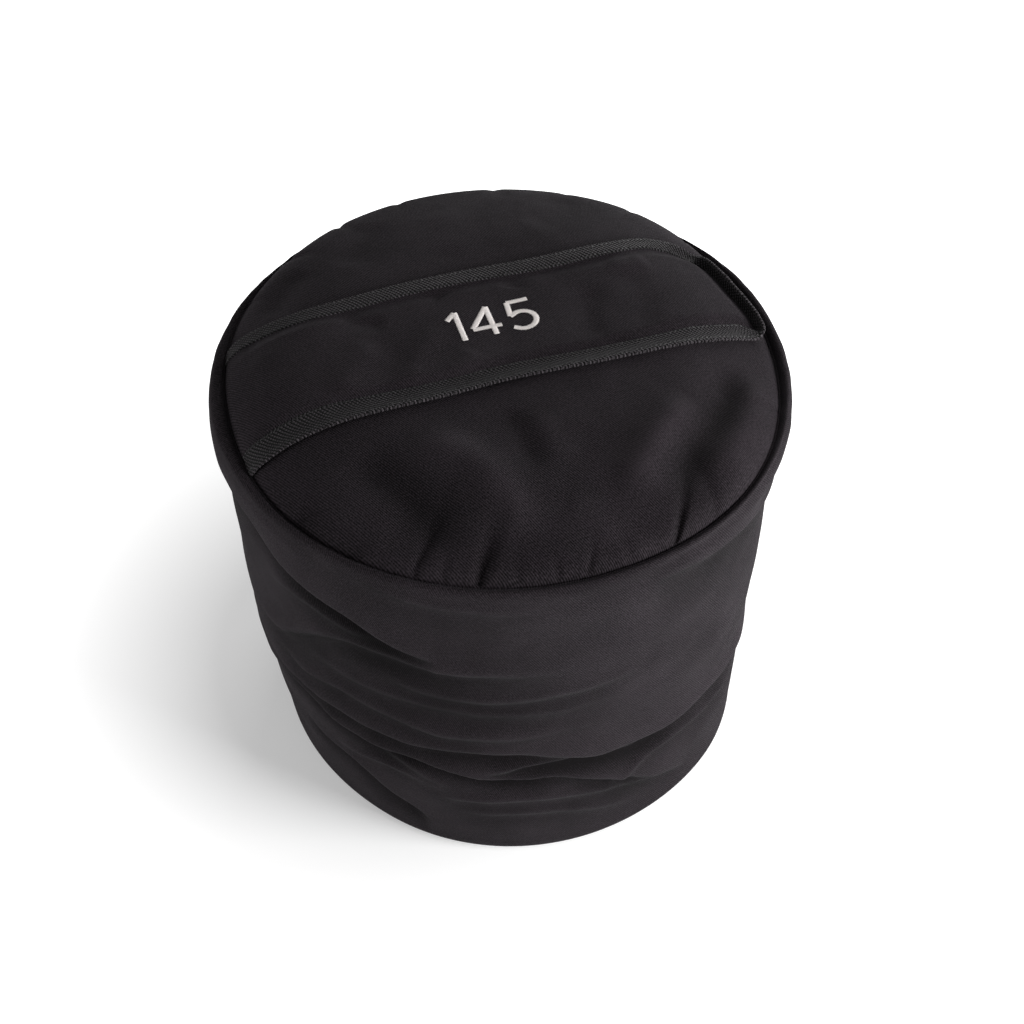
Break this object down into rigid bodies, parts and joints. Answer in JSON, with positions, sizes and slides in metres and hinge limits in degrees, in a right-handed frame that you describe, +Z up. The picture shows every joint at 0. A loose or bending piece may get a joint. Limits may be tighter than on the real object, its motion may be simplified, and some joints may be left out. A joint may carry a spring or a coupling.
{
  "type": "sandbag trainer",
  "caption": "Round strongman sandbag: heavy cloth drum with a crowned zipped top under a bound cover flap, and a sand-filled liner inside.",
  "frame": {"origin": "on the floor, at the middle of the round base", "axes": "+Z up, +X along the zip and the cover flap towards the flap's free end, +Y to the back"},
  "size_m": [0.408, 0.408, 0.3657],
  "materials": {
    "shell_cloth": "heavy black twill nylon, matt",
    "binding_cloth": "black herringbone binding tape",
    "zip_cloth": "black woven zip tape",
    "zip_plastic": "black moulded plastic",
    "slider_metal": "black painted zinc",
    "closure_nylon": "dark hook-and-loop tape",
    "liner_cloth": "grey coated nylon",
    "dry_sand": "dry fine sand"
  },
  "bodies": {
    "bag": {"side_wall": "shell_cloth", "side_seam_binding": "binding_cloth", "base_panel": "shell_cloth", "base_seam_binding": "binding_cloth", "top_panel_front": "shell_cloth", "top_panel_back": "shell_cloth", "top_seam_binding": "binding_cloth", "zip_tape_front": "zip_cloth", "zip_tape_back": "zip_cloth", "zip_teeth_front": "zip_plastic", "zip_teeth_back": "zip_plastic", "zip_bottom_stop": "zip_plastic", "zip_top_stop_front": "zip_plastic", "zip_top_stop_back": "zip_plastic", "loop_strip_front": "closure_nylon", "loop_strip_back": "closure_nylon", "flap_sewn_end": "shell_cloth", "liner_body": "liner_cloth", "liner_spout": "liner_cloth", "spout_loop_strip": "closure_nylon", "spout_hook_strip": "closure_nylon", "sand": "dry_sand"},
    "cover_flap": {"flap": "shell_cloth", "flap_binding": "binding_cloth", "hook_strip_front": "closure_nylon", "hook_strip_back": "closure_nylon"},
    "slider": {"zip_slider": "slider_metal"},
    "pull": {"zip_pull": "slider_metal"}
  },
  "joints": [
    {"name": "flap_lift", "type": "hinge", "parent": "bag", "child": "cover_flap", "pos_m": [-0.172, 0.013, 0.35433], "axis": [0, -1, 0], "range_deg": [0, 150]},
    {"name": "zip_slide", "type": "slide", "parent": "bag", "child": "slider", "axis": [1, 0, 0], "range_m": [-0.2155, 0]},
    {"name": "zip_pull_swing", "type": "hinge", "parent": "slider", "child": "pull", "pos_m": [0.11792, 0.013, 0.3602], "axis": [0, 1, 0], "range_deg": [0, 90]}
  ],
  "couplings": [
    {"joint": "zip_pull_swing", "follows": "flap_lift", "ratio": 0.6}
  ]
}
